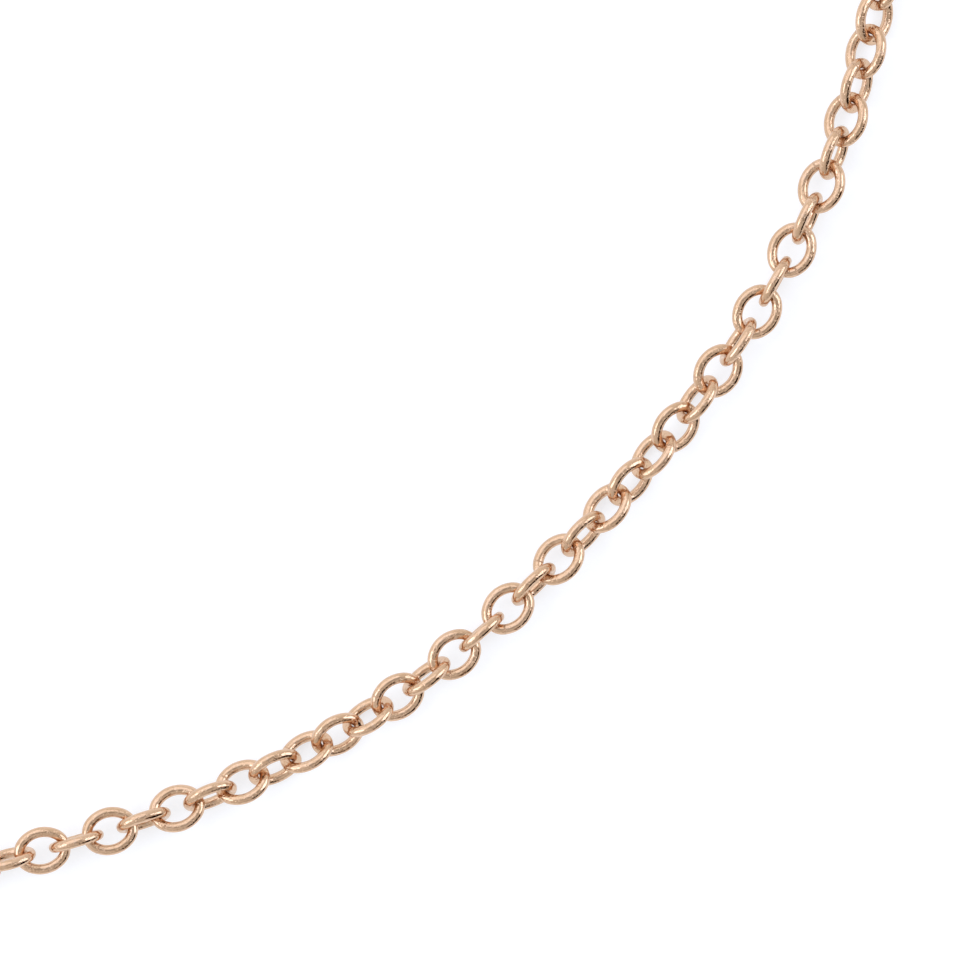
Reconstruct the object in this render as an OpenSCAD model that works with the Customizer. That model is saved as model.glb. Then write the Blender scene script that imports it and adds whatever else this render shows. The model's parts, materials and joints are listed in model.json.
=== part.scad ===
// Cable chain necklace, unfastened and lying flat in a loop.
// The loop's centre is the origin, the surface that it lies on is z = 0,
// and the front of the necklace is at -Y, with its two ends at +Y.

/* [Chain] */
// Thickness of the round wire that the links are bent from
wire_d = 0.65; // [0.55:0.01:0.68]
// Outer length of one link
link_l = 3.54; // [3.5:0.01:3.8]
// Outer width of one link
link_w = 2.95; // [2.9:0.01:3.1]
// Slack between two neighbouring links
play = 0.06; // [0.05:0.01:0.07]
// Twist of the chain from each link to the next, besides the quarter turn, in degrees
twist_step = 6.4; // [5:0.1:8]
// How far the chain drifts to each side of its circle
drift = 0.2; // [0:0.05:0.3]

/* [Loop] */
// Number of four-link lengths in each arm, beside the one at the front
arm_lengths = 24; // [12:1:24]
// Room on the circle between the chain's two ends, for the clasp and the end tab
end_gap = 25; // [24:1:60]

/* [Jump rings] */
// Thickness of the jump rings' wire
jump_wire_d = 0.6; // [0.5:0.05:0.6]
// Width of the seam where a jump ring's two ends meet, in degrees
jump_seam = 3; // [1:0.5:6]

/* [Clasp] */
// Outer diameter of the spring ring
clasp_d = 6; // [5.8:0.1:6.4]
// Outer diameter of its tube
tube_d = 1.3; // [1.2:0.05:1.4]
// Thickness of the bolt's wire
bolt_d = 0.7; // [0.6:0.05:0.75]
// Opening of the ring when the bolt is drawn back, in degrees
mouth_sweep = 60; // [50:1:66]
// Turns of the coil spring
spring_turns = 14; // [8:1:16]

/* [End tab] */
// Length of the tab
tab_l = 7; // [6.6:0.1:8]
// Width of the tab
tab_w = 3.2; // [3.1:0.1:3.6]
// Thickness of the tab
tab_t = 0.5; // [0.4:0.05:0.5]
// Diameter of the hole that the clasp closes through
tab_hole_d = 2; // [1.8:0.1:2.2]

/* [Hidden] */
$fn = 24;

links_per_length = 4;
wire_r = wire_d / 2;
pitch = link_l - 2 * wire_d - play;
circumference = links_per_length * (2 * arm_lengths + 1) * pitch + end_gap;
loop_r = circumference / (2 * PI);
link_step = 360 * pitch / circumference;
last_right = links_per_length * (arm_lengths + 0.5) - 1;
last_left = -links_per_length * (arm_lengths + 0.5);

// Centreline of a link: half round ends of radius half_w, joined by two short straight sides
half_w = link_w / 2 - wire_r;
half_l = link_l / 2 - wire_r;
side_l = link_l - link_w;

// Slow changes along the chain, so that it lies as a real chain does
front_twist = -52;
waver = 9;
waver_step = 8.4;
waver_at = 23;
fidget = 2;
fidget_step = 137;
drift_step = 19;
drift_at = 32;
// Links over which the twist comes to rest, so that each arm's last link lies flat
settling_links = 24;

// A jump ring stands on the surface with its centre level with the last link
jump_wire_r = jump_wire_d / 2;
jump_r = link_w / 2 - jump_wire_r;
jump_x = half_l + jump_r - jump_wire_r - wire_r - play / 2;

// Spring ring: its angles are seen from its centre, with the eye at 180
tube_r = tube_d / 2;
ring_r = clasp_d / 2 - tube_r;
bolt_r = bolt_d / 2;
bore_r = bolt_r + 0.05;
eye_wire_r = 0.25;
eye_r = 0.8;
eye_x = jump_x + jump_r - jump_wire_r - eye_wire_r - play / 2;
ring_x = 2 * eye_r + clasp_d / 2 - 0.1;
clasp_drop = asin((link_w / 2 - tube_r) / (ring_x + ring_r));
mouth_from = 20;
mouth_to = mouth_from + mouth_sweep;
bolt_from = mouth_from - 4;
bolt_to = mouth_to + 75;
bolt_travel = mouth_to - bolt_from;
knob_at = mouth_to + 12;
knob_stem_r = 0.15;
knob_seat = 0.2;
knob_r = 0.4;
slot_w = 0.4;
slot_margin = 6;
stop_from = 340;
stop_sweep = 6;
spring_wire_r = 0.05;
spring_r = 0.3;
spring_from = bolt_to + 2;
spring_to = stop_from - 2;
spring_steps = 10;
spring_sides = 6;

// End tab: its near hole is on the jump ring, and its far hole takes the clasp's bolt
tab_edge = 0.5;
tab_near_d = 1.5;
tab_far_x = tab_l - tab_w / 2;
tab_x = jump_x + jump_r - jump_wire_r - tab_edge - play;
tab_drop = asin((link_w / 2 - tab_t / 2) / tab_l);

gold = [0.87, 0.66, 0.53];
steel = [0.75, 0.75, 0.76];

// Link k counts from the front: k = 0, 1, 2 ... in the right arm and -1, -2 ... in the left arm
function link_angle(k) = -90 + (k + 0.5) * link_step;
function link_radius(k) = loop_r + drift * sin(drift_step * (k - drift_at));
function link_x(k) = link_radius(k) * cos(link_angle(k));
function link_y(k) = link_radius(k) * sin(link_angle(k));

// Tilt of link k about the chain: 0 lies flat, and above 0 its outer side is the higher one
function free_tilt(k) =
    front_twist + twist_step * k + waver * sin(waver_step * (k - waver_at)) + fidget * sin(fidget_step * k)
    + 90 * (abs(k) % 2);
function to_flat(tilt) = 180 * round(tilt / 180) - tilt;
function settled(links_to_end) = max(0, 1 - links_to_end / settling_links);
function link_tilt(k) =
    free_tilt(k)
    + to_flat(free_tilt(last_right)) * settled(last_right - k)
    + to_flat(free_tilt(last_left)) * settled(k - last_left);

// The chain's axis is as high as the steeper of two neighbours needs to clear the surface
function axis_z(k) = wire_r + half_w * max(abs(sin(link_tilt(k))), abs(cos(link_tilt(k))));

// Direction in which the chain runs at link k, towards the right arm's end
function link_heading(k) = atan2(link_y(k + 1) - link_y(k - 1), link_x(k + 1) - link_x(k - 1));

// A ring, or part of one, of round wire about Z
module wire_ring(radius, thick_r, from = 0, sweep = 360) {
    rotate([0, 0, from]) rotate_extrude(angle = sweep) translate([radius, 0]) circle(thick_r);
}

// One link, flat, with its length along X
module link() {
    for (turn = [0, 180]) rotate([0, 0, turn]) {
        translate([side_l / 2, 0, 0]) wire_ring(half_w, wire_r, -90, 180);
        translate([-side_l / 2, half_w, 0]) rotate([0, 90, 0]) cylinder(r = wire_r, h = side_l);
    }
}

// Puts what is drawn flat along X where link k is
module at_link(k, tilt = 0, turn = 0) {
    translate([link_x(k), link_y(k), axis_z(k)]) rotate([-tilt, 0, link_heading(k) + turn]) children();
}

module length_of_links(first) {
    color(gold) for (k = [first : first + links_per_length - 1]) at_link(k, link_tilt(k)) link();
}

// The two ends: what is drawn there runs along +X, away from the last link's centre
module at_right_end() {
    at_link(last_right) children();
}

module at_left_end() {
    at_link(last_left, turn = 180) children();
}

// A standing jump ring, with its seam at the top
module jump_ring() {
    color(gold) translate([jump_x, 0, 0]) rotate([90, 0, 0])
        wire_ring(jump_r, jump_wire_r, 90 + jump_seam / 2, 360 - jump_seam);
}

// The clasp hangs from its eye and rests on the far side of its ring
module at_clasp_eye() {
    at_right_end() translate([eye_x, 0, 0]) rotate([0, clasp_drop, 0]) children();
}

module at_clasp_ring() {
    at_clasp_eye() translate([ring_x, 0, 0]) children();
}

module clasp_eye() {
    color(gold) at_clasp_ring() difference() {
        translate([eye_r - ring_x, 0, 0]) wire_ring(eye_r, eye_wire_r);
        wire_ring(ring_r, tube_r);
    }
}

module clasp_tube() {
    color(gold) at_clasp_ring() difference() {
        rotate([0, 0, mouth_to]) rotate_extrude(angle = 360 - mouth_sweep) translate([ring_r, 0]) difference() {
            circle(tube_r);
            circle(bore_r);
        }
        rotate([0, 0, knob_at - slot_margin]) rotate_extrude(angle = bolt_travel + 2 * slot_margin)
            translate([ring_r, -slot_w / 2]) square([tube_d, slot_w]);
    }
}

module clasp_stop() {
    color(gold) at_clasp_ring() wire_ring(ring_r, bore_r, stop_from, stop_sweep);
}

// One corner of the spring's wire, at a step along the coil
function spring_point(step, side) =
    let (
        share = step / (spring_steps * spring_turns),
        ring_angle = spring_from + (spring_to - spring_from) * share,
        coil_angle = 360 * spring_turns * share,
        side_angle = 360 * side / spring_sides,
        out = spring_r + spring_wire_r * cos(side_angle),
        along = spring_wire_r * sin(side_angle),
        radius = ring_r + out * cos(coil_angle)
    )
    [
        radius * cos(ring_angle) - along * sin(ring_angle),
        radius * sin(ring_angle) + along * cos(ring_angle),
        out * sin(coil_angle)
    ];

module clasp_spring() {
    last = spring_steps * spring_turns;
    points = [for (step = [0 : last], side = [0 : spring_sides - 1]) spring_point(step, side)];
    sides = [
        for (step = [0 : last - 1], side = [0 : spring_sides - 1])
            let (here = step * spring_sides, next = here + spring_sides, beside = (side + 1) % spring_sides)
            [here + side, next + side, next + beside, here + beside]
    ];
    near_end = [for (side = [0 : spring_sides - 1]) side];
    far_end = [for (side = [spring_sides - 1 : -1 : 0]) last * spring_sides + side];
    color(steel) at_clasp_ring() polyhedron(points, concat(sides, [near_end, far_end]));
}

// The thumb knob's stem, which sits in a blind hole in the bolt
module knob_stem() {
    rotate([0, 0, knob_at]) translate([ring_r + bolt_r - knob_seat, 0, 0]) rotate([0, 90, 0])
        cylinder(r = knob_stem_r, h = tube_r - bolt_r + knob_seat + knob_r);
}

module clasp_bolt() {
    color(gold) at_clasp_ring() difference() {
        wire_ring(ring_r, bolt_r, bolt_from, bolt_to - bolt_from);
        knob_stem();
    }
}

module clasp_thumb_knob() {
    color(gold) at_clasp_ring() {
        knob_stem();
        rotate([0, 0, knob_at]) translate([ring_r + tube_r + knob_r, 0, 0]) sphere(knob_r);
    }
}

module end_tab() {
    color(gold) at_left_end() translate([tab_x, 0, 0]) rotate([0, tab_drop, 0])
        translate([0, 0, -tab_t / 2]) linear_extrude(tab_t) difference() {
            union() {
                translate([tab_w / 2, 0]) circle(d = tab_w);
                translate([tab_far_x, 0]) circle(d = tab_w);
                translate([tab_w / 2, -tab_w / 2]) square([tab_l - tab_w, tab_w]);
            }
            translate([tab_edge + tab_near_d / 2, 0]) circle(d = tab_near_d);
            translate([tab_far_x, 0]) circle(d = tab_hole_d);
        }
}

length_of_links(-links_per_length / 2);  // links_front
for (n = [1 : arm_lengths]) {
    length_of_links(links_per_length * (n - 0.5));
    length_of_links(-links_per_length * (n + 0.5));
}
at_right_end() jump_ring();  // clasp_jump_ring
clasp_eye();
clasp_tube();
clasp_stop();
clasp_spring();
clasp_bolt();
clasp_thumb_knob();
at_left_end() jump_ring();  // tab_jump_ring
end_tab();
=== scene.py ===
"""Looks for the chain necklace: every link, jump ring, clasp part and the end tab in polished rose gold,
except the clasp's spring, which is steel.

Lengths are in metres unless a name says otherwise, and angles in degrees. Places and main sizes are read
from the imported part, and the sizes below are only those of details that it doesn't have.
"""
import json
import math
import random

import bmesh
import bpy
import numpy as np
from mathutils import Matrix, Vector

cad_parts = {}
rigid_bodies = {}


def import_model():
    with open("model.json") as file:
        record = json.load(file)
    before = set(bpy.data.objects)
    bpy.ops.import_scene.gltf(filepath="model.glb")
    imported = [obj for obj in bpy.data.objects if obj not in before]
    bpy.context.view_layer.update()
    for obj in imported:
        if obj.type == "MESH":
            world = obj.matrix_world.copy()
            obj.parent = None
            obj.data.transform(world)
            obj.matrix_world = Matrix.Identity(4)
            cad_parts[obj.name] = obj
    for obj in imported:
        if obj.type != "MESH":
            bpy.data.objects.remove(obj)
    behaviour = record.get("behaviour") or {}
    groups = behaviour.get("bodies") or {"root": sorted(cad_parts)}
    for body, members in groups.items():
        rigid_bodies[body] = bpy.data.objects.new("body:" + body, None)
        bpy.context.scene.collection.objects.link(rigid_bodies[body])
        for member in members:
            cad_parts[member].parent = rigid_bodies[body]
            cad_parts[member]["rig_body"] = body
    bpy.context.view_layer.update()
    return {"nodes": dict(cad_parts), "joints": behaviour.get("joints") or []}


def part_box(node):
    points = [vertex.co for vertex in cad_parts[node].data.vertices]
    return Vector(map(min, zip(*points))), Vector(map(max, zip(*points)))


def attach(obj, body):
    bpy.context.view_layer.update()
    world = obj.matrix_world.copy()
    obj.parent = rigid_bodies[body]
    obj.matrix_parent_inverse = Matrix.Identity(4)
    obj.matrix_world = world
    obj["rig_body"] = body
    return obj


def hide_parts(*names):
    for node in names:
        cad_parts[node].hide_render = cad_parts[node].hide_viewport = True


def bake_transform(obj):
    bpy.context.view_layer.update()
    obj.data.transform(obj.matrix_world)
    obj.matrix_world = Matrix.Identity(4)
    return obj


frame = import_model()

MM = 0.001

# Links
LINK_SIDES = 20
CROWN_RINGS = 16
FLANK_RINGS = 20
CROWN_TIGHTNESS = 0.87  # radius of a link's round end, as a share of half its width
SOLDER_SPREAD = 0.07 * MM
SOLDER_DENT = 0.015
SOLDER_WANDER = 0.35 * MM
WEAR_AND_SHADE_SHARPNESS = 6  # how fast the rubbed spot, darkened with painted shade, fades from the tip of a link's end
WIRE_LENGTHS = 400  # each link's metal is a random place along this many millimetres of wire

# Small parts
WIRE_SIDES = 24
RING_STEP = 3
CAP_RINGS = 6
CAP_FROM = 0.1
CAP_TO = 1.5
CAP_TIP = 0.98  # how far a rounded wire end closes, as a share of the wire's radius
EDGE_ROUND = 0.03 * MM
WELD = 0.001 * MM

SLOT_HALF = 0.2 * MM
SLOT_MARGIN = 6
SLOT_COLUMNS = 3
SPRING_WIRE = 0.1 * MM
SPRING_TURNS = 14
SPRING_STEPS = 16
SPRING_SIDES = 8
KNOB_STEM = 0.3 * MM
KNOB_TOP = 0.92  # height of the knob's flattened top, as a share of its ball's radius
KNOB_TOP_WIDTH = 0.3
KNOB_TOP_FROM = 0.5
KNOB_RINGS = 12
EYE_STEPS = 240
EYE_SUNK = 0.12 * MM
EYE_FLARE = 0.3
TAB_EDGE = 0.5 * MM
TAB_NEAR_HOLE = 1.5 * MM
TAB_FAR_HOLE = 2 * MM
TAB_SIDES = 40
TAB_ROUND = 0.08 * MM

# Metal, whose noise scales are counts to a millimetre
CLOUD_SCALE = 1.3
LINE_SCALE = (7.5, 7.5, 1.6)  # two across the wire, one along
PIT_SCALE = 6.0
WAVE_SCALE = 2.6
TONE_SHARE = 0.5
LINE_DEPTH = 0.009 * MM
PIT_DEPTH = 0.009 * MM
WAVE_DEPTH = 0.03 * MM
SMALL_PARTS_RELIEF = 0.3

# Light tent and light table, whose levels are shares of white
TABLE_GLOW = (0.63, 0.65, 0.68)
TABLE_GRAIN = 900.0
DOME_LEVEL = 0.84
DOME_LEAN = 0.2
DOME_BRIGHT_AZIMUTH = 135
DOME_OVERHEAD = 0.6
OVERHEAD_CORE = 8
OVERHEAD_FADE = 32
GAP_AZIMUTH = 322
GAP_CORE = 12
GAP_FADE = 33
GAP_TOP = 38
GAP_TOP_FADE = 6
GAP_LEVEL = 0.02
GAP_COLOUR = (1.0, 0.56, 0.28)
SOFTBOX_COLOUR = (0.86, 0.94, 1.16)

# Camera and stage
CAMERA_HEIGHT = 600 * MM
VIEW_WIDTH = 59.2 * MM
VIEW_NODE = "links_right_6"
VIEW_ALONG = 2.7 * MM
VIEW_INWARD = 6.9 * MM
SENSOR = 36
FLOOR_HALF = 60
FLOOR_GAP = 0.01 * MM


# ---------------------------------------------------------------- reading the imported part

def corners(node):
    """A CAD node's corner points."""
    mesh = frame["nodes"][node].data
    points = np.empty(len(mesh.vertices) * 3)
    mesh.vertices.foreach_get("co", points)
    return points.reshape(-1, 3)


def edge_ends(node):
    """The numbers of the two corner points of each edge of a CAD node."""
    mesh = frame["nodes"][node].data
    ends = np.empty(len(mesh.edges) * 2, int)
    mesh.edges.foreach_get("vertices", ends)
    return ends.reshape(-1, 2)


def solids(node):
    """The corner points of each separate solid in a CAD node."""
    places, place_of = np.unique(np.round(corners(node) / WELD), axis=0, return_inverse=True)
    edges = place_of.ravel()[edge_ends(node)]
    label = np.arange(len(places))
    while True:
        lower = label.copy()
        least = label[edges].min(axis=1)
        np.minimum.at(lower, edges[:, 0], least)
        np.minimum.at(lower, edges[:, 1], least)
        lower = lower[lower]
        if (lower == label).all():
            return [places[label == each] * WELD for each in np.unique(label)]
        label = lower


def lie_of(points):
    """A symmetric solid's centre, its long, middle and short directions, and its size along each."""
    mean = points.mean(axis=0)
    axes = np.linalg.eigh(np.cov((points - mean).T))[1][:, ::-1]
    axes[:, 2] = np.cross(axes[:, 0], axes[:, 1])
    along = (points - mean) @ axes
    centre = mean + axes @ (along.max(axis=0) + along.min(axis=0)) / 2
    return centre, axes, np.ptp(along, axis=0)


def placing(centre, x_axis, z_axis):
    """The matrix that puts a shape drawn at the origin at a centre, with X and Z along these directions."""
    x_axis = Vector(x_axis).normalized()
    z_axis = Vector(z_axis).normalized()
    turn = Matrix((x_axis, z_axis.cross(x_axis), z_axis)).transposed()
    return Matrix.Translation(Vector(centre)) @ turn.to_4x4()


def body_of(node):
    return frame["nodes"][node]["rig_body"]


def seen_from(place, points):
    """Points in the row frame, in a placed shape's own frame."""
    back = np.array(place.inverted())
    return points @ back[:3, :3].T + back[:3, 3]


class Arc:
    """A CAD node of round wire bent about a placed frame's Z: its ring and wire radius, and its angles."""

    def __init__(self, node, place):
        local = seen_from(place, corners(node))
        out = np.hypot(local[:, 0], local[:, 1])
        self.ring = (out.max() + out.min()) / 2
        self.wire = (out.max() - out.min()) / 2
        turn = np.round(np.degrees(np.arctan2(local[:, 1], local[:, 0])) % 360, 2) % 360
        angles, angle_of = np.unique(turn, return_inverse=True)
        gaps = np.diff(np.append(angles, angles[0] + 360))
        # the wire's opening is the widest gap between angles that no edge crosses
        ends = np.sort(angle_of.ravel()[edge_ends(node)], axis=1)
        past_zero = angles[ends[:, 1]] - angles[ends[:, 0]] > 180
        ends[past_zero] = ends[past_zero][:, ::-1] + [0, len(angles)]
        crossings = np.zeros(2 * len(angles), int)
        np.add.at(crossings, ends[:, 0], 1)
        np.add.at(crossings, ends[:, 1], -1)
        crossed = np.cumsum(crossings).reshape(2, -1).sum(axis=0) > 0
        widest = int(np.where(crossed, 0, gaps).argmax())
        self.start = float(angles[(widest + 1) % len(angles)])
        self.sweep = float(360 - gaps[widest])


# ---------------------------------------------------------------- meshes

class Shape:
    """Points, faces, and what the material reads at each point, gathered for one piece."""

    def __init__(self):
        self.points = []
        self.faces = []
        self.places = []
        self.marks = []
        self.count = 0

    def add(self, points, faces, places=None, marks=None):
        points = np.asarray(points, float)
        places = points / MM if places is None else places
        marks = np.zeros_like(points) if marks is None else marks
        self.points.append(points)
        self.places.append(places)
        self.marks.append(marks)
        self.faces.extend([tuple(self.count + corner for corner in face) for face in faces])
        self.count += len(points)

    def piece(self, name, place=None):
        """An object of this shape. Its points keep their wire places, in millimetres, and their marks."""
        points = np.concatenate(self.points)
        mesh = bpy.data.meshes.new(name)
        mesh.from_pydata(points.tolist(), [], self.faces)
        for label, values in (("wire_place", self.places), ("marks", self.marks)):
            layer = mesh.attributes.new(label, "FLOAT_VECTOR", "POINT")
            layer.data.foreach_set("vector", np.concatenate(values).astype(np.float32).ravel())
        if place is not None:
            mesh.transform(place)
        mesh.polygons.foreach_set("use_smooth", [True] * len(mesh.polygons))
        mesh.update()
        thing = bpy.data.objects.new(name, mesh)
        bpy.context.scene.collection.objects.link(thing)
        return thing


def grid_faces(rows, columns, rows_close, columns_close):
    """The quads of a grid of points, numbered row by row, whose rows or columns may close on themselves."""
    faces = []
    for row in range(rows if rows_close else rows - 1):
        for column in range(columns if columns_close else columns - 1):
            next_row = (row + 1) % rows
            next_column = (column + 1) % columns
            faces.append((
                row * columns + column,
                next_row * columns + column,
                next_row * columns + next_column,
                row * columns + next_column,
            ))
    return faces


def wire(line, outward, across, radius, sides, closed):
    """Round wire along a line: its points, faces, and each point's place (two across the wire, one along).

    outward and across are unit directions square to the line at each of its points.
    """
    turn = np.linspace(0, 2 * np.pi, sides, endpoint=False)
    radius = np.broadcast_to(np.asarray(radius, float), (len(line),))[:, None, None]
    ring = np.cos(turn)[None, :, None] * outward[:, None, :]
    ring = ring + np.sin(turn)[None, :, None] * across[:, None, :]
    points = (line[:, None, :] + radius * ring).reshape(-1, 3)
    steps = np.linalg.norm(np.diff(line, axis=0), axis=1)
    length = np.concatenate([[0], np.cumsum(steps)])
    flat = np.broadcast_to(radius[:, :, 0], (len(line), sides))
    places = np.stack([
        (flat * np.cos(turn)).ravel(), (flat * np.sin(turn)).ravel(), np.repeat(length, sides)
    ], axis=1) / MM
    faces = grid_faces(len(line), sides, closed, True)
    if not closed:
        faces.append(tuple(range(sides)))
        faces.append(tuple(range(len(line) * sides - 1, (len(line) - 1) * sides - 1, -1)))
    return points, faces, places


def circle_at(ring, angles):
    """The points of a circle about Z at these angles in radians, and their outward and across directions."""
    outward = np.stack([np.cos(angles), np.sin(angles), np.zeros_like(angles)], axis=1)
    return ring * outward, outward, np.tile([0.0, 0.0, 1.0], (len(angles), 1))


def arc_angles(start, sweep):
    """Even steps along an arc, in radians."""
    return np.radians(np.linspace(start, start + sweep, max(2, round(sweep / RING_STEP)) + 1))


def round_off(angles, arc):
    """More steps near both ends of an arc, and the wire's radius at each step, to give it rounded ends."""
    cap = arc.wire / arc.ring * (1 - np.cos(np.linspace(CAP_FROM, CAP_TO, CAP_RINGS)))
    angles = np.sort(np.concatenate([angles, angles[0] + cap, angles[-1] - cap]))
    from_end = np.minimum(angles - angles[0], angles[-1] - angles) * arc.ring
    depth = np.clip(1 - from_end / arc.wire, 0, CAP_TIP)
    return angles, arc.wire * np.sqrt(1 - depth ** 2)


def oval(half_length, half_width):
    """A link's centreline: two round ends and two flatter flanks, all arcs, that run into one another."""
    end = CROWN_TIGHTNESS * half_width
    end_at = half_length - end
    flank = (end_at ** 2 + half_width ** 2 - end ** 2) / (2 * (half_width - end))
    meet = math.degrees(math.atan2(flank - half_width, end_at))
    arcs = (
        (end_at, 0, end, -meet, 2 * meet, CROWN_RINGS),
        (0, half_width - flank, flank, meet, 180 - 2 * meet, FLANK_RINGS),
        (-end_at, 0, end, 180 - meet, 2 * meet, CROWN_RINGS),
        (0, flank - half_width, flank, 180 + meet, 180 - 2 * meet, FLANK_RINGS),
    )
    line, outward = [], []
    for x, y, radius, start, sweep, rings in arcs:
        angles = np.radians(np.linspace(start, start + sweep, rings, endpoint=False))
        points, away, _ = circle_at(radius, angles)
        line.append(np.array([x, y, 0]) + points)
        outward.append(away)
    return np.concatenate(line), np.concatenate(outward)


def round_edges(thing, width=EDGE_ROUND):
    """Breaks the sharp edges of a piece, as tumbling does."""
    bevel = thing.modifiers.new("rounded edges", "BEVEL")
    bevel.width = width
    bevel.segments = 2
    bevel.limit_method = "ANGLE"
    bevel.angle_limit = math.radians(40)
    normals = thing.modifiers.new("even shading", "WEIGHTED_NORMAL")
    normals.keep_sharp = True


def settle(thing, node, material):
    """Makes a piece stand for a CAD node: it rides on the node's body and takes its finish."""
    thing.data.materials.append(material)
    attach(thing, body_of(node))
    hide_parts(node)


# ---------------------------------------------------------------- the chain

def add_link(shape, points, chance):
    """One soldered oval link of round wire, where a CAD link is."""
    centre, axes, size = lie_of(points)
    wire_r = size[2] / 2
    line, outward = oval(size[0] / 2 - wire_r, size[1] / 2 - wire_r)
    across = np.tile([0.0, 0.0, 1.0], (len(line), 1))
    # the solder joint is near the middle of one flank
    flank = chance.choice((-1, 1))
    joint = np.array([chance.uniform(-SOLDER_WANDER, SOLDER_WANDER), flank * (size[1] / 2 - wire_r), 0])
    near_joint = np.exp(-(np.linalg.norm(line - joint, axis=1) / SOLDER_SPREAD) ** 2)
    radius = wire_r * (1 - SOLDER_DENT * near_joint)
    local, faces, places = wire(line, outward, across, radius, LINK_SIDES, True)
    # the inside of each round end, where the next link rubs and its wire shades it: wear, and darker with
    # painted shade
    inner = np.clip(-(places[:, 0] * MM) / wire_r, 0, 1)
    from_middle = np.abs(np.repeat(line[:, 0], LINK_SIDES)) / line[:, 0].max()
    crown = np.clip(from_middle, 0, 1) ** WEAR_AND_SHADE_SHARPNESS
    tone = np.full(len(local), chance.uniform(0, 1))
    marks = np.stack([np.repeat(near_joint, LINK_SIDES), inner * crown, tone], axis=1)
    places = places + np.array([0, 0, chance.uniform(0, WIRE_LENGTHS)])
    shape.add(local @ axes.T + centre, faces, places, marks)


def build_chain(material):
    """Every four-link length of the chain, as one piece on its own body."""
    for number, node in enumerate(sorted(n for n in frame["nodes"] if n.startswith("links_"))):
        chance = random.Random(number)
        shape = Shape()
        for points in solids(node):
            add_link(shape, points, chance)
        settle(shape.piece(node + "_oval"), node, material)


def build_bent_wire(node, place, material, round_ends=False):
    """A ring or part of one, of round wire about Z in a placed frame. Its ends are cut square or rounded."""
    arc = Arc(node, place)
    angles, radius = arc_angles(arc.start, arc.sweep), arc.wire
    if round_ends:
        angles, radius = round_off(angles, arc)
    shape = Shape()
    shape.add(*wire(*circle_at(arc.ring, angles), radius, WIRE_SIDES, False))
    thing = shape.piece(node + "_wire", place)
    if not round_ends:
        round_edges(thing)
    settle(thing, node, material)


def build_jump_ring(node, material):
    """A standing jump ring, whose two ends meet at its top."""
    centre, axes, size = lie_of(corners(node))
    build_bent_wire(node, placing(centre, axes[:, 0], axes[:, 2]), material)


# ---------------------------------------------------------------- the spring ring clasp and the end tab

def clasp_place():
    """The spring ring's own frame: Z is its axis, and its eye is towards -X."""
    joint = next(j for j in frame["joints"] if j["name"] == "clasp_bolt_slide_round")
    centre = Vector(joint["pos_m"])
    axis = Vector(joint["axis"])
    from_eye = centre - Vector(corners("clasp_eye").mean(axis=0))
    return placing(centre, from_eye - from_eye.dot(axis) * axis, axis), joint["range_deg"][1]


def build_clasp_eye(place, material):
    """The eye: a wire loop whose two ends are soldered to the tube."""
    local = seen_from(place, corners("clasp_eye"))
    wire_r = local[:, 2].max()
    loop_r = local[:, 1].max() - wire_r
    centre = local[:, 0].min() + loop_r + wire_r
    tube = Arc("clasp_tube", place)
    angles = np.linspace(0, 2 * np.pi, EYE_STEPS)
    x = centre + loop_r * np.cos(angles)
    free = np.abs(np.hypot(x, loop_r * np.sin(angles)) - tube.ring) > tube.wire - EYE_SUNK
    free &= x < 0
    start = math.degrees(angles[free].min())
    line, outward, across = circle_at(loop_r, arc_angles(start, 360 - 2 * start))
    steps = np.arange(len(line)) * math.radians(RING_STEP) * loop_r
    flare = np.exp(-np.minimum(steps, steps[::-1]) / SOLDER_SPREAD)
    points, faces, places = wire(line, outward, across, wire_r * (1 + EYE_FLARE * flare), WIRE_SIDES, False)
    points += np.array([centre, 0, 0])
    # its ends stop inside the tube's wall
    out = np.hypot(points[:, 0], points[:, 1])
    push = np.maximum(1, (tube.wire - EYE_SUNK) / np.hypot(out - tube.ring, points[:, 2]))
    points[:, :2] *= ((tube.ring + (out - tube.ring) * push) / out)[:, None]
    points[:, 2] *= push
    shape = Shape()
    shape.add(points, faces, places)
    settle(shape.piece("clasp_eye_wire", place), "clasp_eye", material)


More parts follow.
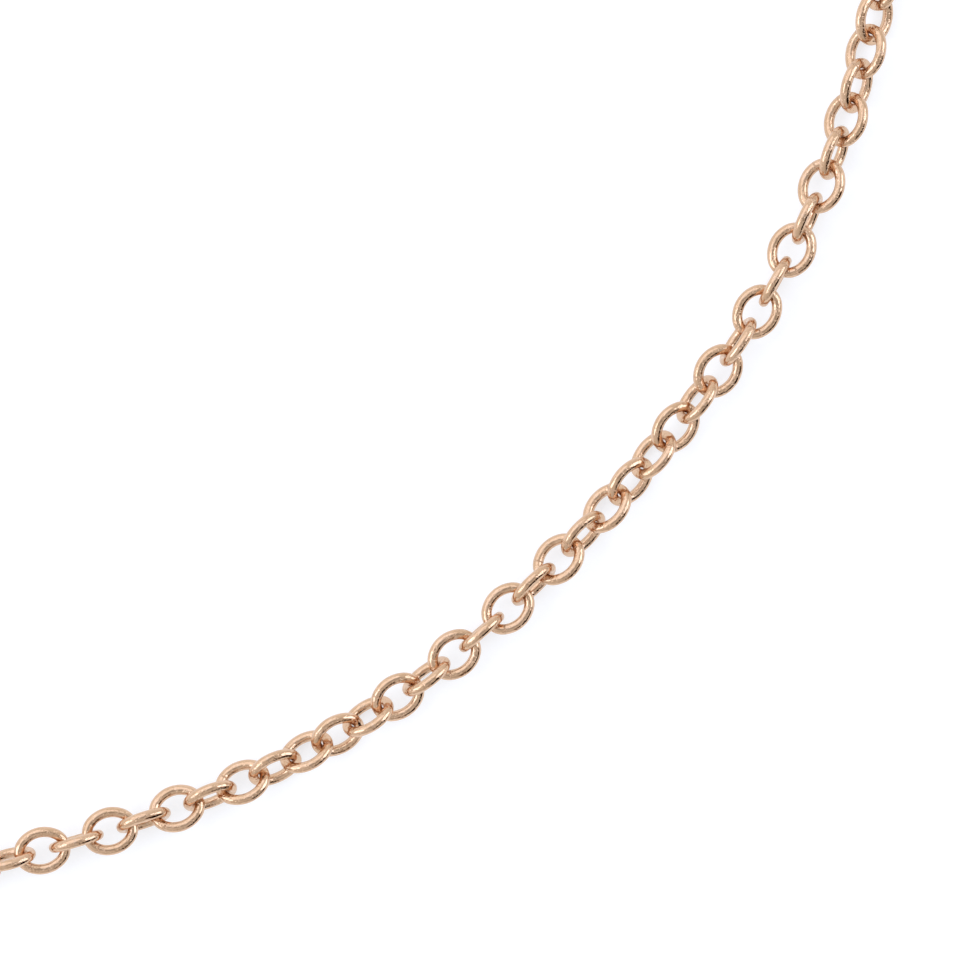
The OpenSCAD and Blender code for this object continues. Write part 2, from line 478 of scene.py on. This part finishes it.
def build_clasp_tube(place, travel, material):
    """The hollow ring, open at the mouth, with a slot on its outer side for the knob to run in."""
    arc = Arc("clasp_tube", place)
    bore = Arc("clasp_stop", place).wire
    knob = seen_from(place, corners("clasp_thumb_knob")).mean(axis=0)
    knob_at = math.degrees(math.atan2(knob[1], knob[0]))
    stops = (arc.start, knob_at - SLOT_MARGIN, knob_at + travel + SLOT_MARGIN, arc.start + arc.sweep)
    angles = []
    for low, high in zip(stops, stops[1:]):
        angles.append(np.linspace(low, high, round((high - low) / RING_STEP), endpoint=False))
    slot_from = len(angles[0])
    slot_to = slot_from + len(angles[1])
    angles = np.radians(np.append(np.concatenate(angles), stops[-1]))
    rows = len(angles)
    shell = []
    for radius in (arc.wire, bore):
        edge = math.asin(SLOT_HALF / radius)
        round_it = np.concatenate([
            np.linspace(edge, 2 * np.pi - edge, WIRE_SIDES),
            np.linspace(-edge, edge, SLOT_COLUMNS + 2)[1:-1],
        ])
        out = arc.ring + radius * np.cos(round_it)[None, :]
        points = np.stack([
            out * np.cos(angles)[:, None],
            out * np.sin(angles)[:, None],
            np.broadcast_to(radius * np.sin(round_it), (rows, len(round_it))),
        ], axis=2)
        places = np.stack([
            np.broadcast_to(radius * np.cos(round_it), (rows, len(round_it))),
            np.broadcast_to(radius * np.sin(round_it), (rows, len(round_it))),
            np.broadcast_to((angles * arc.ring)[:, None], (rows, len(round_it))),
        ], axis=2)
        shell.append((points.reshape(-1, 3), places.reshape(-1, 3) / MM))
    columns = WIRE_SIDES + SLOT_COLUMNS
    inner = rows * columns
    slotted = range(slot_from, slot_to)
    faces = []
    for row in range(rows - 1):
        for column in range(columns):
            if row in slotted and column >= WIRE_SIDES - 1:
                continue
            here, beside = row * columns + column, row * columns + (column + 1) % columns
            faces.append((here, here + columns, beside + columns, beside))
            faces.append((inner + here, inner + beside, inner + beside + columns, inner + here + columns))
    for row in slotted:
        for column in (0, WIRE_SIDES - 1):
            here = row * columns + column
            faces.append((here, here + columns, inner + here + columns, inner + here))
    ends = [(0, range(columns)), (rows - 1, range(columns))]
    ends += [(row, range(WIRE_SIDES - 1, columns)) for row in (slot_from, slot_to)]
    for row, across_it in ends:
        for column in across_it:
            here, beside = row * columns + column, row * columns + (column + 1) % columns
            faces.append((here, beside, inner + beside, inner + here))
    shape = Shape()
    shape.add(np.concatenate([s[0] for s in shell]), faces, np.concatenate([s[1] for s in shell]))
    thing = shape.piece("clasp_tube_shell", place)
    face_outwards(thing)
    round_edges(thing)
    settle(thing, "clasp_tube", material)


def build_clasp_spring(place, material):
    """The coil spring inside the tube. In the real clasp it shortens as the bolt is drawn back; this coil is
    fixed and rides on no body.
    """
    local = seen_from(place, corners("clasp_spring"))
    arc = Arc("clasp_spring", place)
    wire_r = SPRING_WIRE / 2
    coil_r = arc.wire - wire_r
    steps = round(SPRING_TURNS * SPRING_STEPS)
    share = np.linspace(0, 1, steps + 1)
    angles = np.radians(arc.start + arc.sweep * share)
    coil = 2 * np.pi * SPRING_TURNS * share
    ring_out = np.stack([np.cos(angles), np.sin(angles), np.zeros_like(angles)], axis=1)
    up = np.tile([0.0, 0.0, 1.0], (len(share), 1))
    outward = np.cos(coil)[:, None] * ring_out + np.sin(coil)[:, None] * up
    line = arc.ring * ring_out + coil_r * outward
    along = np.gradient(line, axis=0)
    across = np.cross(outward, along)
    across /= np.linalg.norm(across, axis=1)[:, None]
    shape = Shape()
    shape.add(*wire(line, outward, -across, wire_r, SPRING_SIDES, False))
    thing = shape.piece("clasp_spring_coil", place)
    face_outwards(thing)
    thing.data.materials.append(material)
    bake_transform(thing)
    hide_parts("clasp_spring")


def build_thumb_knob(place, material):
    """The thumb knob: a small ball with a flattened top, on a stem."""
    local = seen_from(place, corners("clasp_thumb_knob"))
    middle = local.mean(axis=0)
    at = math.atan2(middle[1], middle[0])
    out = local @ np.array([math.cos(at), math.sin(at), 0])
    ball_r = local[:, 2].max()
    ball_at = out.max() - ball_r
    stem_r = KNOB_STEM / 2
    neck = math.asin(stem_r / ball_r)
    turn = np.linspace(math.pi - neck, KNOB_TOP_FROM, KNOB_RINGS)
    profile = [(out.min(), stem_r)]
    profile += [(ball_at + ball_r * math.cos(t), ball_r * math.sin(t)) for t in turn]
    profile += [(ball_at + ball_r * KNOB_TOP, ball_r * KNOB_TOP_WIDTH)]
    line = np.array([[height, 0, 0] for height, _ in profile])
    outward = np.tile([0.0, 1.0, 0.0], (len(line), 1))
    across = np.tile([0.0, 0.0, 1.0], (len(line), 1))
    shape = Shape()
    shape.add(*wire(line, outward, across, [radius for _, radius in profile], WIRE_SIDES, False))
    thing = shape.piece("clasp_thumb_knob_ball", place @ Matrix.Rotation(at, 4, "Z"))
    face_outwards(thing)
    round_edges(thing)
    settle(thing, "clasp_thumb_knob", material)


def build_end_tab(material):
    """The flat end tab, with a hole for the jump ring and a larger one that the clasp closes through."""
    centre, axes, size = lie_of(corners("end_tab"))
    away = axes[:, 0] * np.sign((centre - corners("tab_jump_ring").mean(axis=0)) @ axes[:, 0])
    place = placing(centre, away, axes[:, 2] * np.sign(axes[2, 2]))
    length, width, thickness = size
    round_at = (length - width) / 2
    near_at = TAB_EDGE + TAB_NEAR_HOLE / 2 - length / 2
    half = np.linspace(-np.pi / 2, np.pi / 2, TAB_SIDES)
    whole = np.linspace(0, 2 * np.pi, TAB_SIDES, endpoint=False)
    outline = [(round_at + width / 2 * math.cos(t), width / 2 * math.sin(t)) for t in half]
    outline += [(-x, -y) for x, y in outline]
    loops = [outline]
    for at, diameter in ((near_at, TAB_NEAR_HOLE), (round_at, TAB_FAR_HOLE)):
        loops.append([(at + diameter / 2 * math.cos(t), diameter / 2 * math.sin(t)) for t in whole])
    plate = bmesh.new()
    edges = []
    for loop in loops:
        verts = [plate.verts.new((x, y, -thickness / 2)) for x, y in loop]
        edges += [plate.edges.new((a, b)) for a, b in zip(verts, verts[1:] + verts[:1])]
    bmesh.ops.triangle_fill(plate, edges=edges, use_beauty=True)
    raised = bmesh.ops.extrude_face_region(plate, geom=plate.faces[:])["geom"]
    raised = [v for v in raised if isinstance(v, bmesh.types.BMVert)]
    bmesh.ops.translate(plate, verts=raised, vec=(0, 0, thickness))
    bmesh.ops.recalc_face_normals(plate, faces=plate.faces[:])
    plate.verts.index_update()
    shape = Shape()
    shape.add([v.co for v in plate.verts], [[v.index for v in f.verts] for f in plate.faces])
    plate.free()
    thing = shape.piece("end_tab_plate", place)
    round_edges(thing, TAB_ROUND)
    settle(thing, "end_tab", material)


def face_outwards(thing):
    """Turns every face of a closed piece outwards."""
    work = bmesh.new()
    work.from_mesh(thing.data)
    bmesh.ops.recalc_face_normals(work, faces=work.faces[:])
    work.to_mesh(thing.data)
    work.free()


# ---------------------------------------------------------------- materials

class Shader:
    """Short ways to add and join the nodes of a material or of the world."""

    def __init__(self, tree):
        self.tree = tree
        tree.nodes.clear()

    def add(self, kind, settings=None, **inputs):
        """A node with these settings, and values or sockets put into its inputs (_ stands for a space)."""
        node = self.tree.nodes.new(kind)
        for name, value in (settings or {}).items():
            setattr(node, name, value)
        for name, value in inputs.items():
            self.put(node.inputs[name.replace("_", " ")], value)
        return node

    def put(self, socket, value):
        if isinstance(value, bpy.types.NodeSocket):
            self.tree.links.new(value, socket)
        else:
            socket.default_value = (*value, 1.0) if socket.type == "RGBA" else value

    def attribute(self, name):
        return self.add("ShaderNodeAttribute", {"attribute_name": name}).outputs["Vector"]

    def vector(self, operation, first, second):
        node = self.add("ShaderNodeVectorMath", {"operation": operation})
        self.put(node.inputs[0], first)
        self.put(node.inputs[1], second)
        return node.outputs["Value" if operation == "DOT_PRODUCT" else "Vector"]

    def number(self, operation, first, second):
        node = self.add("ShaderNodeMath", {"operation": operation})
        self.put(node.inputs[0], first)
        self.put(node.inputs[1], second)
        return node.outputs["Value"]

    def noise(self, place, scale, detail):
        return self.add("ShaderNodeTexNoise", Vector=place, Scale=scale, Detail=detail).outputs[0]

    def spread(self, value, low, high, to_low=0.0, to_high=1.0, smooth=True):
        """A value's stretch from low to high, spread over another range, and held at its ends."""
        settings = {"interpolation_type": "SMOOTHSTEP" if smooth else "LINEAR"}
        node = self.add("ShaderNodeMapRange", settings, Value=value)
        for name, number in (("From Min", low), ("From Max", high), ("To Min", to_low), ("To Max", to_high)):
            self.put(node.inputs[name], number)
        return node.outputs["Result"]

    def bumps(self, *heights):
        """The normal after bumps of these (height, depth) laid over one another."""
        node = None
        for height, depth in heights:
            under = {"Normal": node.outputs["Normal"]} if node else {}
            node = self.add("ShaderNodeBump", Strength=1.0, Distance=depth, Height=height, **under)
        return node.outputs["Normal"]

    def mix(self, share, first, second):
        node = self.add("ShaderNodeMix", {"data_type": "RGBA"})
        self.put(node.inputs[0], share)
        self.put(node.inputs[6], first)
        self.put(node.inputs[7], second)
        return node.outputs[2]


def polished_metal(name, pale, deep, worn_and_shaded, solder, smoothest, roughest, relief):
    """Polished metal: slow changes of tone, fine lines along it, pits, a solder joint, and worn spots
    darkened with painted shade.

    relief is how deep its waves, lines and pits are, as a share of those in the chain's drawn wire.
    """
    material = bpy.data.materials.new(name)
    material.use_nodes = True
    shader = Shader(material.node_tree)
    place = shader.attribute("wire_place")
    marks = shader.add("ShaderNodeSeparateXYZ", Vector=shader.attribute("marks")).outputs
    clouds = shader.noise(place, CLOUD_SCALE, 3.0)
    lines = shader.noise(shader.vector("MULTIPLY", place, LINE_SCALE), 1.0, 1.0)
    pits = shader.noise(place, PIT_SCALE, 1.0)
    waves = shader.noise(place, WAVE_SCALE, 1.0)

    colour = shader.mix(shader.spread(clouds, 0.35, 0.65), pale, deep)
    colour = shader.mix(shader.number("MULTIPLY", marks["Z"], TONE_SHARE), colour, deep)
    # the darker colour inside each link's round end: wear, and painted shade where the next link passes
    # through
    colour = shader.mix(shader.spread(marks["Y"], 0.2, 1.0, 0.0, 0.6), colour, worn_and_shaded)
    colour = shader.mix(shader.spread(marks["X"], 0.1, 1.0, 0.0, 0.5), colour, solder)

    roughness = shader.spread(lines, 0.3, 0.7, smoothest, roughest)
    roughness = shader.number("ADD", roughness, shader.spread(marks["X"], 0.1, 1.0, 0.0, 0.1))
    roughness = shader.number("ADD", roughness, shader.spread(clouds, 0.45, 0.75, 0.0, 0.06))

    sunk = shader.spread(pits, 0.53, 0.63, 1.0, 0.0)
    normal = shader.bumps(
        (waves, relief * WAVE_DEPTH), (lines, relief * LINE_DEPTH), (sunk, relief * PIT_DEPTH)
    )
    metal = shader.add(
        "ShaderNodeBsdfPrincipled", Base_Color=colour, Roughness=roughness, Metallic=1.0,
        Normal=normal
    )
    shader.add("ShaderNodeOutputMaterial", Surface=metal.outputs["BSDF"])
    return material


def rose_gold(name, relief):
    # its worn colour is darker than pale: painted shade inside the links' round ends, as well as wear
    return polished_metal(
        name, pale=(0.72, 0.49, 0.335), deep=(0.665, 0.442, 0.285), worn_and_shaded=(0.56, 0.355, 0.225),
        solder=(0.72, 0.53, 0.40), smoothest=0.04, roughest=0.1, relief=relief
    )


def spring_steel():
    return polished_metal(
        "spring_steel", pale=(0.56, 0.56, 0.57), deep=(0.47, 0.47, 0.48), worn_and_shaded=(0.42, 0.42, 0.43),
        solder=(0.56, 0.56, 0.57), smoothest=0.25, roughest=0.4, relief=0.5
    )


def floor_paint():
    """A matt white light table, very slightly cool, with a faint grain. Its own glow keeps shadows pale."""
    material = bpy.data.materials.new("white_light_table")
    material.use_nodes = True
    shader = Shader(material.node_tree)
    place = shader.add("ShaderNodeTexCoord").outputs["Object"]
    grain = shader.noise(place, TABLE_GRAIN, 3.0)
    colour = shader.mix(shader.spread(grain, 0.3, 0.7), (0.44, 0.44, 0.44), (0.46, 0.46, 0.46))
    table = shader.add(
        "ShaderNodeBsdfPrincipled", Base_Color=colour, Roughness=0.9, Emission_Color=TABLE_GLOW,
        Emission_Strength=1.0
    )
    table.inputs["Specular IOR Level"].default_value = 0.0
    shader.add("ShaderNodeOutputMaterial", Surface=table.outputs["BSDF"])
    return material


# ---------------------------------------------------------------- stage, light and camera

def cosine(angle):
    return math.cos(math.radians(angle))


def sine(angle):
    return math.sin(math.radians(angle))


def towards(azimuth, elevation):
    """The direction at an azimuth counter-clockwise from +X and an elevation above the floor."""
    flat = cosine(elevation)
    return Vector((flat * cosine(azimuth), flat * sine(azimuth), sine(elevation)))


def build_floor():
    mesh = bpy.data.meshes.new("floor")
    corner = FLOOR_HALF
    flat = [(-corner, -corner), (corner, -corner), (corner, corner), (-corner, corner)]
    mesh.from_pydata([(x, y, -FLOOR_GAP) for x, y in flat], [], [(0, 1, 2, 3)])
    floor = bpy.data.objects.new("floor", mesh)
    bpy.context.scene.collection.objects.link(floor)
    mesh.materials.append(floor_paint())


def build_dome():
    """A pale light tent. It is dimmer overhead, and has a dark gap low down to the lower right."""
    world = bpy.data.worlds.new("light tent")
    bpy.context.scene.world = world
    world.use_nodes = True
    shader = Shader(world.node_tree)
    direction = shader.add("ShaderNodeTexCoord").outputs["Generated"]
    height = shader.add("ShaderNodeSeparateXYZ", Vector=direction).outputs["Z"]
    overhead = shader.spread(height, cosine(OVERHEAD_FADE), cosine(OVERHEAD_CORE))
    leaning = shader.vector("DOT_PRODUCT", direction, tuple(DOME_LEAN * towards(DOME_BRIGHT_AZIMUTH, 0)))
    level = shader.number("ADD", leaning, DOME_LEVEL)
    dimming = shader.spread(overhead, 0.0, 1.0, 1.0, DOME_OVERHEAD, smooth=False)
    level = shader.number("MULTIPLY", level, dimming)
    flat = shader.vector("MULTIPLY", direction, (1.0, 1.0, 0.0))
    flat = shader.add("ShaderNodeVectorMath", {"operation": "NORMALIZE"}, Vector=flat).outputs["Vector"]
    facing = shader.vector("DOT_PRODUCT", flat, tuple(towards(GAP_AZIMUTH, 0)))
    beside = shader.spread(facing, cosine(GAP_FADE), cosine(GAP_CORE))
    below = shader.spread(height, sine(GAP_TOP - GAP_TOP_FADE), sine(GAP_TOP + GAP_TOP_FADE), 1.0, 0.0)
    gap = shader.number("MULTIPLY", beside, below)
    level = shader.number("MULTIPLY", level, shader.spread(gap, 0.0, 1.0, 1.0, GAP_LEVEL, smooth=False))
    colour = shader.mix(gap, (1.0, 1.0, 1.0), GAP_COLOUR)
    light = shader.add("ShaderNodeBackground", Color=colour, Strength=level)
    shader.add("ShaderNodeOutputWorld", Surface=light.outputs["Background"])


def add_softbox(name, azimuth, elevation, breadth, brightness):
    """A far round lamp, this many degrees across, that looks this bright."""
    lamp = bpy.data.lights.new(name, "SUN")
    lamp.color = SOFTBOX_COLOUR
    lamp.angle = math.radians(breadth)
    lamp.energy = brightness * math.pi * math.sin(lamp.angle / 2) ** 2
    thing = bpy.data.objects.new(name, lamp)
    thing.rotation_mode = "QUATERNION"
    thing.rotation_quaternion = towards(azimuth, elevation).to_track_quat("Z", "Y")
    bpy.context.scene.collection.objects.link(thing)


def build_camera():
    """Straight down on the stretch of the right arm about one node, a little inside the loop from it."""
    low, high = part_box(VIEW_NODE)
    chain = (low + high) / 2
    out = Vector((chain.x, chain.y, 0)).normalized()
    ahead = Vector((-out.y, out.x, 0))
    target = chain + VIEW_ALONG * ahead - VIEW_INWARD * out
    data = bpy.data.cameras.new("camera")
    data.sensor_width = SENSOR
    data.lens = SENSOR * CAMERA_HEIGHT / VIEW_WIDTH
    data.clip_start = CAMERA_HEIGHT / 10
    data.clip_end = 4 * FLOOR_HALF
    camera = bpy.data.objects.new("camera", data)
    camera.location = (target.x, target.y, chain.z + CAMERA_HEIGHT)
    bpy.context.scene.collection.objects.link(camera)
    bpy.context.scene.camera = camera


build_chain(rose_gold("rose_gold_chain", 1.0))
gold = rose_gold("rose_gold_small_parts", SMALL_PARTS_RELIEF)
for ring in ("clasp_jump_ring", "tab_jump_ring"):
    build_jump_ring(ring, gold)
ring_place, bolt_travel = clasp_place()
build_clasp_eye(ring_place, gold)
build_clasp_tube(ring_place, bolt_travel, gold)
build_bent_wire("clasp_stop", ring_place, gold)
build_clasp_spring(ring_place, spring_steel())
build_bent_wire("clasp_bolt", ring_place, gold, round_ends=True)
build_thumb_knob(ring_place, gold)
build_end_tab(gold)

build_floor()
build_dome()
add_softbox("right softbox", azimuth=15, elevation=37, breadth=40, brightness=1.85)
add_softbox("left softbox", azimuth=191, elevation=39, breadth=34, brightness=1.75)
add_softbox("key light", azimuth=130, elevation=50, breadth=60, brightness=0.55)
build_camera()
bpy.context.scene.view_settings.view_transform = "Standard"
